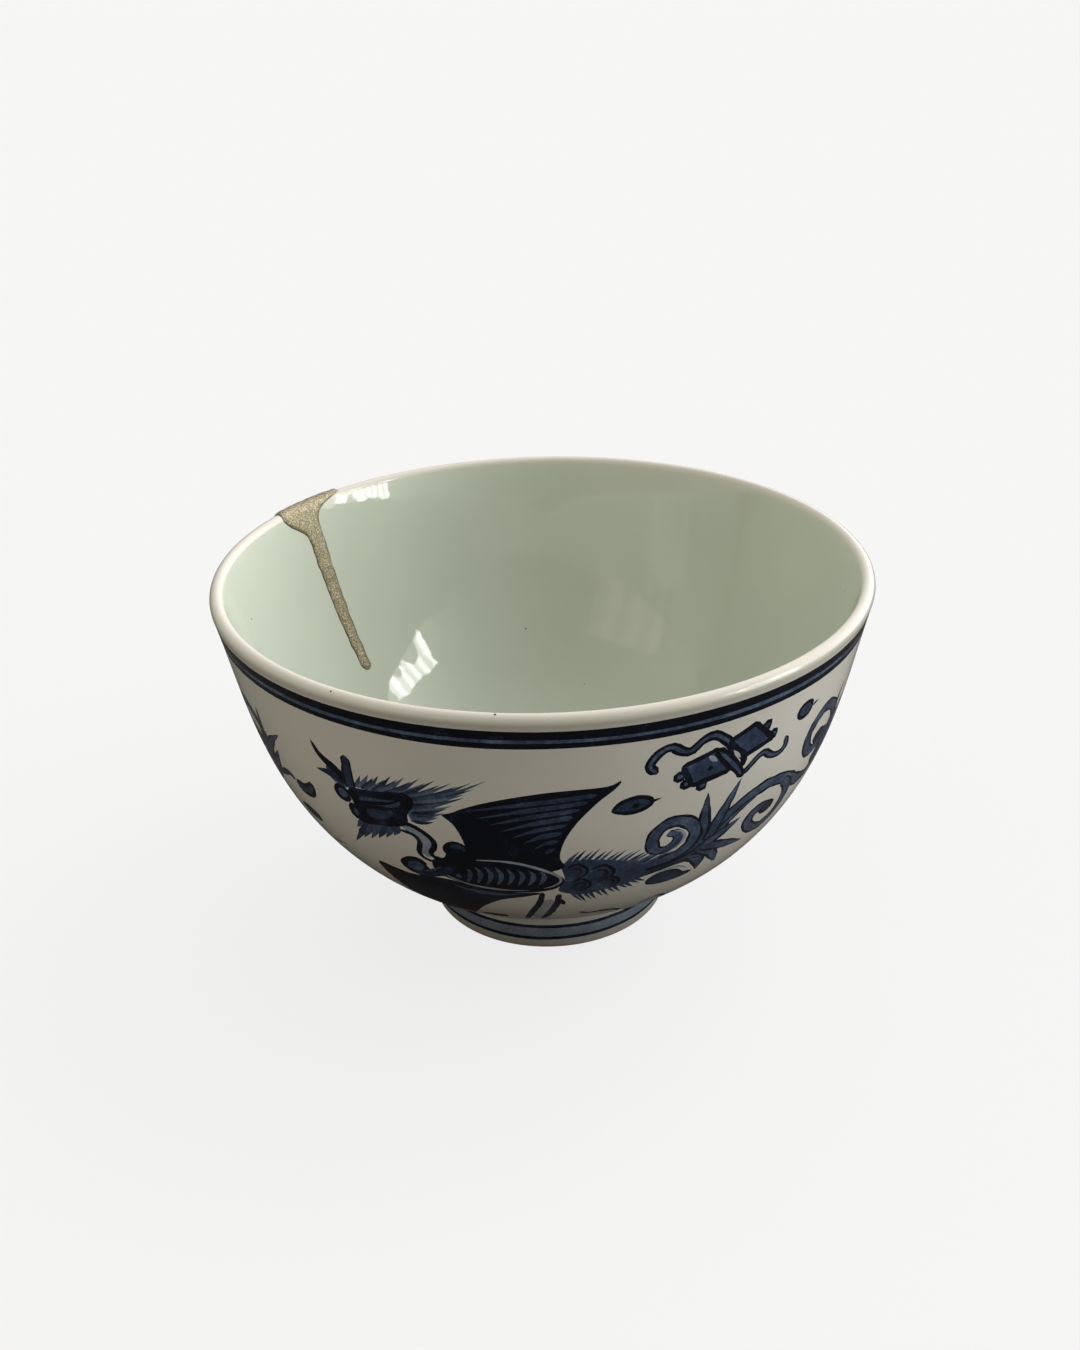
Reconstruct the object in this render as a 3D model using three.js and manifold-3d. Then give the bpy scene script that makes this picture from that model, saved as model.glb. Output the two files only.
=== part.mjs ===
// A small footed porcelain teacup with a thin flaring wall, mended at the rim:
// a chip and the crack below it are filled through the wall with gilded lacquer.
// Millimetres, +Z up, origin at the centre of the foot ring's resting plane.
// The front of the cup faces -Y, and the mend is at the back left.

import * as THREE from "three";
import { mergeVertices } from "three/addons/utils/BufferGeometryUtils.js";
import Module from "manifold-3d";

// Cup
const HEIGHT = 44.8;
const RIM_RADIUS = 38; // the widest point, on the outside of the lip
const LIP_THICKNESS = 1.6;
const LIP_LEAN = 0.2; // how far the wall leans outwards at the lip, per unit of height
const BODY_START = new THREE.Vector2(17.3, 6.5); // where the underside leaves the foot ring
const BODY_PULL_LOW = new THREE.Vector2(35, 17);
const BODY_PULL_HIGH = new THREE.Vector2(35.1, 31.8);
const FLOOR_HEIGHT = 6.9; // inside of the cup, at its centre
const FLOOR_FLATNESS = 25.7; // how far out the inside floor stays flat
const INNER_PULL_HIGH = new THREE.Vector2(31.5, 20.1);

// Foot ring
const FOOT_RADIUS = 14.9;
const FOOT_TOP = new THREE.Vector2(16, 4.9); // where the foot wall starts to curve outwards
const FOOT_CORNER = new THREE.Vector2(16.15, 5.82); // the corner that its fillet rounds off
const FOOT_CHAMFER = 0.5;
const FOOT_INNER_RADIUS = 12.7;
const RECESS_DEPTH = 4.6;
const RECESS_FILLET = 0.7;

// Mend, with the left and right that someone looking at it across the cup sees
const SEAM_AZIMUTH = 142.9; // degrees from +X, at the lower end
const SEAM_LEAN = 0.13; // degrees that the seam turns for each millimetre up
const SEAM_BOTTOM = 22;
const SEAM_WIDTH_LOW = 1.6;
const SEAM_WIDTH_HIGH = 2.6;
const CHIP_BOTTOM = 39; // height at which the seam stops widening and the chip begins
const CHIP_LEFT_FROM = 40.4; // the chip's left side runs out between these two heights
const CHIP_LEFT_TO = 44.2;
const CHIP_LEFT_REACH = 3.4;
const CHIP_RIGHT_REACH = 5.2;
const CHIP_RIGHT_CURVE = 7; // a high power keeps the right side steep until just under the lip
const MEND_PROUD = 0.25; // thickness of the gilded lacquer over the glaze
const MEND_GAP = 0.25; // clearance between the mend and the porcelain

// Facets
const CUP_FACETS = 72;
const MEND_FACETS = 240;
const WALL_STEPS = 16;
const LIP_STEPS = 6;
const FILLET_STEPS = 4;
const SEAM_STEPS = 14;
const TIP_STEPS = 4;
const CUTTER_INNER_RADIUS = 24;
const CUTTER_OUTER_RADIUS = 46;
const CUTTER_TOP = HEIGHT + 2;
const MEND_CUT_BELOW = 20; // the mend's own wall section starts here, below the seam's end
const MERGE_WITHIN = 1e-4;
const SEARCH_STEPS = 30;

const DEGREE = Math.PI / 180;

const lipRadius = LIP_THICKNESS / 2;
const lipTilt = Math.atan(LIP_LEAN);
const lipCentre = new THREE.Vector2(RIM_RADIUS - lipRadius, HEIGHT - lipRadius);

// A point on the lip's rounding, thickened by proud. The turn runs from the outside, 0, over the top
// to the inside, 1.
function lipPoint(turn, proud = 0) {
  const angle = turn * Math.PI - lipTilt;
  const reach = lipRadius + proud;
  return new THREE.Vector2(
    lipCentre.x + reach * Math.cos(angle),
    lipCentre.y + reach * Math.sin(angle),
  );
}

const outerWall = new THREE.CubicBezierCurve(
  BODY_START,
  BODY_PULL_LOW,
  BODY_PULL_HIGH,
  lipPoint(0),
);

const innerWall = new THREE.CubicBezierCurve(
  new THREE.Vector2(0, FLOOR_HEIGHT),
  new THREE.Vector2(FLOOR_FLATNESS, FLOOR_HEIGHT),
  INNER_PULL_HIGH,
  lipPoint(1),
);

const footFillet = new THREE.QuadraticBezierCurve(FOOT_TOP, FOOT_CORNER, BODY_START);

const recessFillet = new THREE.QuadraticBezierCurve(
  new THREE.Vector2(FOOT_INNER_RADIUS - RECESS_FILLET, RECESS_DEPTH),
  new THREE.Vector2(FOOT_INNER_RADIUS, RECESS_DEPTH),
  new THREE.Vector2(FOOT_INNER_RADIUS, RECESS_DEPTH - RECESS_FILLET),
);

function lipPoints(proud = 0) {
  const points = [];
  for (let i = 1; i < LIP_STEPS; i += 1) {
    points.push(lipPoint(i / LIP_STEPS, proud));
  }
  return points;
}

// The cup's half section: from the centre of the recess round the foot ring, up the outside, over
// the lip and down the inside.
function cupProfile() {
  const foot = [
    new THREE.Vector2(0, RECESS_DEPTH),
    ...recessFillet.getPoints(FILLET_STEPS),
    new THREE.Vector2(FOOT_INNER_RADIUS, FOOT_CHAMFER),
    new THREE.Vector2(FOOT_INNER_RADIUS + FOOT_CHAMFER, 0),
    new THREE.Vector2(FOOT_RADIUS - FOOT_CHAMFER, 0),
    new THREE.Vector2(FOOT_RADIUS, FOOT_CHAMFER),
  ];
  const outside = outerWall.getSpacedPoints(WALL_STEPS);
  const inside = innerWall.getSpacedPoints(WALL_STEPS).reverse();
  return [
    ...foot,
    ...footFillet.getPoints(FILLET_STEPS),
    ...outside.slice(1),
    ...lipPoints(),
    ...inside,
  ];
}

// Points of one wall curve moved along its normal, kept above the given height.
function raisedWall(curve, side, proud, above) {
  const points = [];
  const steps = WALL_STEPS * 3;
  for (let i = 0; i <= steps; i += 1) {
    const along = i / steps;
    const tangent = curve.getTangentAt(along);
    const point = curve.getPointAt(along);
    point.x += side * tangent.y * proud;
    point.y -= side * tangent.x * proud;
    if (point.y > above) {
      points.push(point);
    }
  }
  return points;
}

// The mend's section: the cup's own upper wall, thickened on both faces and closed off below.
function mendProfile() {
  const outside = raisedWall(outerWall, 1, MEND_PROUD, MEND_CUT_BELOW);
  const inside = raisedWall(innerWall, -1, MEND_PROUD, MEND_CUT_BELOW).reverse();
  const ring = [...outside, ...lipPoints(MEND_PROUD), ...inside];
  return [...ring, ring[0].clone()];
}

// The azimuths, in degrees, of the mend's two edges at a height, with its outline grown by a margin.
function seamEdges(height, margin) {
  const climb = THREE.MathUtils.clamp((height - SEAM_BOTTOM) / (CHIP_BOTTOM - SEAM_BOTTOM), 0, 1);
  const half = THREE.MathUtils.lerp(SEAM_WIDTH_LOW, SEAM_WIDTH_HIGH, climb) / 2 + margin;
  const open = Math.max((height - CHIP_BOTTOM) / (HEIGHT - CHIP_BOTTOM), 0);
  const runOut = THREE.MathUtils.smoothstep(height, CHIP_LEFT_FROM, CHIP_LEFT_TO);
  const tipRadius = SEAM_WIDTH_LOW / 2 + margin;
  const fromTip = Math.min((height - SEAM_BOTTOM + margin) / tipRadius, 1);
  const rounding = Math.sqrt(1 - (1 - fromTip) ** 2);
  const left = half * rounding + CHIP_LEFT_REACH * runOut;
  const right = half * rounding + CHIP_RIGHT_REACH * open ** CHIP_RIGHT_CURVE;
  const centre = SEAM_AZIMUTH + SEAM_LEAN * (height - SEAM_BOTTOM);
  const degreesPerMillimetre = 1 / (seamRadius(height) * DEGREE);
  return [centre + left * degreesPerMillimetre, centre - right * degreesPerMillimetre];
}

// Radius of the inside wall at a height, by halving steps along its curve.
function seamRadius(height) {
  let low = 0;
  let high = 1;
  for (let i = 0; i < SEARCH_STEPS; i += 1) {
    const middle = (low + high) / 2;
    if (innerWall.getPoint(middle).y < height) {
      low = middle;
    } else {
      high = middle;
    }
  }
  return innerWall.getPoint(low).x;
}

// Heights of the outline's points: round the seam's lower tip, then evenly up to the rim.
function seamHeights(margin) {
  const tipRadius = SEAM_WIDTH_LOW / 2 + margin;
  const heights = [];
  for (let i = 1; i < TIP_STEPS; i += 1) {
    const turn = (i / TIP_STEPS) * (Math.PI / 2);
    heights.push(SEAM_BOTTOM - margin + tipRadius * (1 - Math.cos(turn)));
  }
  for (let i = 0; i <= SEAM_STEPS; i += 1) {
    heights.push(THREE.MathUtils.lerp(SEAM_BOTTOM - margin + tipRadius, HEIGHT, i / SEAM_STEPS));
  }
  return heights;
}

// The mend's outline as azimuth in degrees and height, from its tip up one edge and down the other.
function seamOutline(margin) {
  const tip = new THREE.Vector2(SEAM_AZIMUTH, SEAM_BOTTOM - margin);
  const left = [];
  const right = [];
  for (const height of seamHeights(margin)) {
    const [leftAzimuth, rightAzimuth] = seamEdges(height, margin);
    left.push(new THREE.Vector2(leftAzimuth, height));
    right.push(new THREE.Vector2(rightAzimuth, height));
  }
  const top = [left.at(-1), right.at(-1)].map((corner) => new THREE.Vector2(corner.x, CUTTER_TOP));
  return [tip, ...left, ...top, ...right.reverse()];
}

// A closed wedge with that outline, running straight out from near the axis to beyond the wall.
function seamWedge(margin) {
  const outline = seamOutline(margin);
  const count = outline.length;
  const positions = [];
  for (const radius of [CUTTER_INNER_RADIUS, CUTTER_OUTER_RADIUS]) {
    for (const point of outline) {
      const azimuth = point.x * DEGREE;
      positions.push(radius * Math.cos(azimuth), radius * Math.sin(azimuth), point.y);
    }
  }
  const faces = [];
  for (let i = 0; i < count; i += 1) {
    const next = (i + 1) % count;
    faces.push(i, next, count + next, i, count + next, count + i);
  }
  for (const [a, b, c] of THREE.ShapeUtils.triangulateShape(outline, [])) {
    faces.push(a, c, b, count + a, count + b, count + c);
  }
  return new THREE.BufferGeometry()
    .setAttribute("position", new THREE.Float32BufferAttribute(positions, 3))
    .setIndex(faces);
}

const wasm = await Module();
wasm.setup();

// A closed geometry as a solid, with its shared vertices merged.
function toSolid(geometry) {
  const bare = geometry.clone();
  bare.deleteAttribute("normal");
  bare.deleteAttribute("uv");
  const merged = mergeVertices(bare, MERGE_WITHIN);
  const mesh = new wasm.Mesh({
    numProp: 3,
    vertProperties: merged.attributes.position.array,
    triVerts: new Uint32Array(merged.index.array),
  });
  return new wasm.Manifold(mesh);
}

function toGeometry(solid) {
  const mesh = solid.getMesh();
  const geometry = new THREE.BufferGeometry()
    .setAttribute("position", new THREE.Float32BufferAttribute(mesh.vertProperties, 3))
    .setIndex(new THREE.BufferAttribute(mesh.triVerts, 1));
  geometry.computeVertexNormals();
  return geometry;
}

// A solid turned from a half section given as radius and height.
function turned(profile, facets) {
  const lathe = new THREE.LatheGeometry(profile, facets);
  lathe.rotateX(Math.PI / 2);
  return toSolid(lathe);
}

function porcelainCup() {
  const whole = turned(cupProfile(), CUP_FACETS);
  const geometry = toGeometry(whole.subtract(toSolid(seamWedge(MEND_GAP))));
  const glaze = new THREE.MeshStandardMaterial({ color: 0xdfe2d6, roughness: 0.12, metalness: 0 });
  const mesh = new THREE.Mesh(geometry, glaze);
  mesh.name = "porcelain_cup";
  return mesh;
}

function gildedMend() {
  const wall = turned(mendProfile(), MEND_FACETS);
  const geometry = toGeometry(wall.intersect(toSolid(seamWedge(0))));
  const gilding = new THREE.MeshStandardMaterial({ color: 0xb09a66, roughness: 0.45, metalness: 1 });
  const mesh = new THREE.Mesh(geometry, gilding);
  mesh.name = "gilded_mend";
  return mesh;
}

const cup = new THREE.Group();
cup.name = "mended_teacup";
cup.add(porcelainCup(), gildedMend());

export default cup;
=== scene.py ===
"""The looks of a small porcelain teacup with a painted wall and a gilded mend.

The cup is one closed skin. Its painting is laid out flat, as brush marks on the unrolled wall, cut into faces
that each carry one strength of cobalt, and wrapped round the section. The mend fills a cut through the wall.
Lengths are in millimetres and angles in degrees, measured as on the solids, until they are wrapped.
"""

import math
from bisect import bisect_left, bisect_right

import bmesh
import bpy
from bpy.props import FloatProperty, FloatVectorProperty, PointerProperty
from mathutils import Matrix, Vector, geometry, noise


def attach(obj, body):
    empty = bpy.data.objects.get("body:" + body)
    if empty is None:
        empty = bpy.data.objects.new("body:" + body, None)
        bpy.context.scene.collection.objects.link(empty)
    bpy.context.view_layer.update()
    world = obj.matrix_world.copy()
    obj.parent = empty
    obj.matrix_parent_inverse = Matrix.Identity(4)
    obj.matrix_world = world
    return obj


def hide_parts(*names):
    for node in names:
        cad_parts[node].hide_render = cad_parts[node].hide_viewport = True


bl_info = {
    "name": "Mended teacup",
    "version": (1, 0, 0),
    "blender": (4, 5, 0),
    "location": "View3D > Sidebar > Teacup",
    "description": "Builds a painted porcelain teacup with a gilded mend, and the stage it stands on",
    "category": "Add Mesh",
}

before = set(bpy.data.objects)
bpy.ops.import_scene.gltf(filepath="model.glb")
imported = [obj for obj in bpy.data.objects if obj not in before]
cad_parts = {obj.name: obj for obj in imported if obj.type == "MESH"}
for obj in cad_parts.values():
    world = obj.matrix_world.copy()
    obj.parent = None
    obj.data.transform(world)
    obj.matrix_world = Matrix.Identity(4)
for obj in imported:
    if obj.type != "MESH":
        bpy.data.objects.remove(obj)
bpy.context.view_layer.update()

MM = 0.001  # metres in a millimetre

# The section of the cup, as radius and height
HEIGHT = 44.8
RIM_RADIUS = 38.0
LIP_THICKNESS = 1.6
LIP_LEAN = 0.2
BODY_CURVE = [(17.3, 6.5), (35, 17), (35.1, 31.8)]
FLOOR_CURVE = [(35.08, 39.66), (32.02, 17.1), (24.63, 6.9), (0, 6.9)]
FOOT_RADIUS = 14.9
FOOT_FILLET = [(16, 4.9), (16.15, 5.82), (17.3, 6.5)]
FOOT_CHAMFER = 0.5
FOOT_INNER_RADIUS = 12.7
RECESS_DEPTH = 4.6
RECESS_FILLET = 0.7
CURVE_STEPS = 1400
LIP_STEPS = 120
FILLET_STEPS = 60
RECESS_STEPS = 12
CHAMFER_STEPS = 8

# The mend, by azimuth round the cup and by height
SEAM_AZIMUTH = 142.9
SEAM_LEAN = 0.13
SEAM_BOTTOM = 22.0
SEAM_WIDTH_LOW = 1.6
SEAM_WIDTH_HIGH = 2.6
SEAM_TIP = 0.8
CHIP_BOTTOM = 39.0
CHIP_LEFT_FROM = 40.4
CHIP_LEFT_TO = 44.2
CHIP_LEFT_REACH = 3.4
CHIP_RIGHT_REACH = 5.2
CHIP_RIGHT_CURVE = 7
CHIP_HALF_SPAN = 20.0  # nothing else of the cut lies further round than this
EDGE_WANDER = 0.16  # how far the mend's edge strays from its smooth course
MEND_COLUMNS = 48
MEND_SHOULDER = 0.35  # how far in from its edge the mend reaches its full height
MEND_LUMPS = 0.07
MEND_FINE_LUMPS = 0.03
LACQUER_RIM = 0.1  # how far below the lip's outer end bare lacquer shows through the gold

# The unrolled skin
SKIN_START = 106.5  # azimuth where the unrolled skin closes, clear of the painted figures
COLUMNS = 180
UNROLLED_RADIUS = 34.0  # radius at which the unrolled skin has its true width
DEGREE = UNROLLED_RADIUS * math.pi / 180
SKIN_INSIDE = 34.0  # how far the skin runs down the inside of the wall
ROW_STEP = 1.2
FOOT_ROW_STEP = 0.6
LIP_ROW_STEP = 0.2
STROKE_STEP = 0.5
WELD = 0.003
SLIVER = 0.1  # an open edge shorter than this bounds a hole left by welding
SLIVER_SIDES = 5
SLACK = 0.01  # how far past the top of the lip an edge point still belongs to both faces of the wall
ASIDE_SLACK = 0.002
UNDER_ROWS = 60
FLOOR_ROWS = 16

# The painting
REPEATS = 3
FRONT = 270.0
FRONT_HALF = 76.0  # the figures here keep their drawn places, and those behind stray a little
STRAY_BLEND = 24.0  # how much further round the straying is complete
STRAY_TURN = 2.0  # how far a place then strays round the cup, in degrees
STRAY_DEPTH = 1.1  # and how far up or down the wall
LINE, DEEP, MID, PALE, RESERVE = 1.0, 0.78, 0.6, 0.42, 0.28  # strengths of cobalt
IRON = 2.0  # a speck of iron instead of cobalt
CUT = -1.0  # the mend's opening in the skin
SPECKS = 12

# Rings as two depths below the lip, or two lengths above the foot's bottom, and their ink
LIP_RINGS = [(1.2, 2.5, MID - 0.05), (0.62, 1.7, LINE), (2.15, 2.82, LINE)]
FOOT_RINGS = [(3.5, 1.25, RESERVE + 0.05), (3.8, 3.2, DEEP), (1.6, 1.05, DEEP)]

# Specks on the lip as azimuth, length past the lip's outer end, and size
LIP_SPECKS = [(262.6, 1.3, 0.3), (236.5, 1.0, 0.22)]

# The colour that each strength of cobalt gives the ground, at full white
COBALT = [
    (0.0, (1, 1, 1)),
    (0.3, (0.42, 0.5, 0.67)),
    (0.45, (0.17, 0.23, 0.37)),
    (0.6, (0.056, 0.088, 0.182)),
    (0.78, (0.017, 0.031, 0.08)),
    (0.92, (0.0035, 0.0065, 0.018)),
]

# The finish, with heights and depths in metres
LIP_SHADE_OUTSIDE = (0.0425, 0.0445)  # heights between which the lip's darker colour, a painted shade, comes in on the outside
# heights between which the same painted shade covers the top of the lip, inside and out
LIP_SHADE_TOP = (0.0434, 0.0448)
FOOT_PAINTED_SHADE = (0.0, 0.012)  # heights between which the painted shade at the foot fades out
GLAZE_EDGE = (0.00045, 0.0006)  # heights between which the glaze begins
GLAZE_EDGE_STRAY = 0.0002
GLAZE_RIPPLE = 0.00022
GLAZE_IOR = 1.5
CLAY_ROUGHNESS = 0.75
GOLD_GRAIN = 0.00012
GOLD_METAL = 0.85

# The stage, in metres
FLOOR_RADIUS = 8
FLOOR_SEGMENTS = 96
SENSOR_WIDTH = 36
CLIP_START = 0.005
SIDE_FOCUS = 6.0  # how closely the soft light gathers round each of its sides
SIDES = [  # azimuth, elevation and colour of the soft light from each side
    (5, 5, (2.65, 2.78, 2.55)),
    (-30, 10, (0.1, 0.1, 0.1)),
    (45, 15, (2.15, 1.92, 2.1)),
    (75, 68, (0.72, 0.7, 0.63)),
    (180, 15, (0.75, 0.78, 0.69)),
    (-135, 15, (0.43, 0.35, 0.28)),
]
WINDOW_DISTANCE = 1.2
BLIND_WAVE = (-0.6, 0.9)  # the part of each bar's wave over which the light changes
BLIND_LIGHT = (0.55, 1.15)  # how much light comes through behind a bar and between two
SHADE_EDGE = (0.9, 1.1)  # how softly a shade ends, as shares of its reach, squared
WINDOWS = [  # name, azimuths, elevations, brightness, colour, bars, and each shade's middle and reach
    ("window", (-27, 0), (18, 34), 13, (1, 1, 0.96), 5, [(0.33, 0.22, 0.17, 0.36), (0.74, 0.4, 0.09, 0.16)]),
    ("low_window", (-28, -4), (2, 9), 13, (1, 1, 0.96), 9, [(0.7, 0.0, 0.08, 0.4)]),
    ("far_window", (-150, -116), (13, 33), 0.8, (1, 0.95, 0.85), 3, []),
]


def lerp(low, high, share):
    """The value at that share of the way from low to high."""
    return low + (high - low) * share


def smooth_step(share):
    """A soft rise from 0 to 1 as share does."""
    share = min(max(share, 0.0), 1.0)
    return share * share * (3 - 2 * share)


def wander(*seeds):
    """A smooth chance value from about -1 to 1, the same each time for the same seeds."""
    return noise.noise(Vector(seeds))


def bezier(points, steps):
    """Points along the Bezier curve with these control points."""
    curve = []
    for step in range(steps + 1):
        level = [Vector(point) for point in points]
        while len(level) > 1:
            level = [a.lerp(b, step / steps) for a, b in zip(level, level[1:])]
        curve.append(level[0])
    return curve


def lip_point(turn):
    """A point on the round lip, from its outer end at 0 to its inner end at 1."""
    radius = LIP_THICKNESS / 2
    angle = turn * math.pi - math.atan(LIP_LEAN)
    across = RIM_RADIUS - radius + radius * math.cos(angle)
    return Vector((across, HEIGHT - radius + radius * math.sin(angle)))


class Section:
    """The cup's section, from the middle of the recess round to the middle of the floor.

    A place on it is given as its length along the section.
    """

    def __init__(self):
        inner = FOOT_INNER_RADIUS
        outer = FOOT_RADIUS
        roof = RECESS_DEPTH
        recess = [(inner - RECESS_FILLET, roof), (inner, roof), (inner, roof - RECESS_FILLET)]
        inner_edge = [(inner, FOOT_CHAMFER), (inner, 0), (inner + FOOT_CHAMFER, 0)]
        outer_edge = [(outer - FOOT_CHAMFER, 0), (outer, 0), (outer, FOOT_CHAMFER)]
        under = [Vector((0, roof)), *bezier(recess, RECESS_STEPS)]
        under += [*bezier(inner_edge, CHAMFER_STEPS), *bezier(outer_edge, CHAMFER_STEPS)]
        fillet = bezier(FOOT_FILLET, FILLET_STEPS)
        body = bezier([*BODY_CURVE, lip_point(0)], CURVE_STEPS)[1:]
        lip = [lip_point(step / LIP_STEPS) for step in range(1, LIP_STEPS)]
        wall = bezier([lip_point(1), *FLOOR_CURVE], CURVE_STEPS)
        self.points = [*under, *fillet, *body, *lip, *wall]
        self.marks = [0.0]
        for a, b in zip(self.points, self.points[1:]):
            self.marks.append(self.marks[-1] + (b - a).length)
        self.foot = self.marks[len(under) - 1]
        self.body = self.marks[len(under) + len(fillet) - 1]
        self.lip = self.marks[len(under) + len(fillet) + len(body) - 1]
        self.wall = self.marks[-len(wall)]
        self.end = self.marks[-1]
        self.normals = [self.normal(index) for index in range(len(self.points))]
        heights = [(point.y, mark) for point, mark in zip(self.points, self.marks)]
        top = max(range(len(heights)), key=lambda index: heights[index][0])
        self.rise = heights[len(under): top + 1]
        self.fall = heights[: top - 1: -1]

    def normal(self, index):
        """The outward direction at one of the points."""
        along = self.points[min(index + 1, len(self.points) - 1)] - self.points[max(index - 1, 0)]
        return Vector((along.y, -along.x)).normalized()

    def read(self, values, mark):
        """A value between the points, at that length."""
        index = min(max(bisect_right(self.marks, mark) - 1, 0), len(self.marks) - 2)
        span = self.marks[index + 1] - self.marks[index]
        return values[index].lerp(values[index + 1], min(max((mark - self.marks[index]) / span, 0.0), 1.0))

    def at(self, mark):
        """Radius and height at that length."""
        return self.read(self.points, mark)

    def out(self, mark):
        """The outward direction at that length, as radius and height."""
        return self.read(self.normals, mark).normalized()

    def at_height(self, height, inside):
        """The length at which the outside or the inside reaches a height."""
        branch = self.fall if inside else self.rise
        index = min(max(bisect_left(branch, (height, 0.0)), 1), len(branch) - 1)
        (low, low_mark), (high, high_mark) = branch[index - 1], branch[index]
        share = (height - low) / (high - low) if high > low else 1.0
        return lerp(low_mark, high_mark, min(max(share, 0.0), 1.0))


SECTION = Section()
SKIN_END = SECTION.wall + SKIN_INSIDE


def wrapped(azimuth, mark, proud=0.0):
    """The place in metres of a point of the skin, or of one that stands proud of it."""
    spot = SECTION.at(mark) + SECTION.out(mark) * proud
    angle = math.radians(azimuth)
    return Vector((spot.x * math.cos(angle), spot.x * math.sin(angle), spot.y)) * MM


def facing(azimuth, mark):
    """The outward direction of the skin at a point."""
    out = SECTION.out(mark)
    angle = math.radians(azimuth)
    return Vector((out.x * math.cos(angle), out.x * math.sin(angle), out.y))


def mend_edges(height):
    """The azimuths of the mend's left and right edges, as seen from inside the cup."""
    climb = min(max((height - SEAM_BOTTOM) / (CHIP_BOTTOM - SEAM_BOTTOM), 0.0), 1.0)
    half = lerp(SEAM_WIDTH_LOW, SEAM_WIDTH_HIGH, climb) / 2
    rounding = math.sqrt(1 - (1 - min((height - SEAM_BOTTOM) / SEAM_TIP, 1.0)) ** 2)
    opening = max((height - CHIP_BOTTOM) / (HEIGHT - CHIP_BOTTOM), 0.0)
    chip = CHIP_LEFT_REACH * smooth_step((height - CHIP_LEFT_FROM) / (CHIP_LEFT_TO - CHIP_LEFT_FROM))
    left = (half + EDGE_WANDER * wander(height * 0.8, 3, 1)) * rounding + chip
    right = (half + EDGE_WANDER * wander(height * 0.7, 9, 4)) * rounding
    right += CHIP_RIGHT_REACH * opening**CHIP_RIGHT_CURVE
    degree = SECTION.at(SECTION.at_height(height, inside=True)).x * math.pi / 180
    centre = SEAM_AZIMUTH + SEAM_LEAN * (height - SEAM_BOTTOM)
    return centre + left / degree, centre - right / degree


def mend_heights():
    """The heights of the mend's edge points, closest at the seam's round tip and at the top of the lip."""
    tip = [0.0, 0.02, 0.07, 0.15, 0.27, 0.42, 0.6]
    top = [0.0, 0.01, 0.04, 0.08, 0.14, 0.22, 0.32]
    count = round((HEIGHT - SEAM_BOTTOM - tip[-1] - top[-1]) / 0.2)
    low = SEAM_BOTTOM + tip[-1]
    high = HEIGHT - top[-1]
    between = [lerp(low, high, step / count) for step in range(1, count)]
    return [*(SEAM_BOTTOM + rise for rise in tip), *between, *(HEIGHT - drop for drop in reversed(top))]


def mend_rows():
    """The mend's rows, as section length and both azimuths, up the outside and down the inside."""
    heights = mend_heights()
    rows = []
    for inside, course in ((False, heights), (True, heights[-2::-1])):
        rows += [(SECTION.at_height(height, inside), *mend_edges(height)) for height in course]
    return rows


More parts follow.
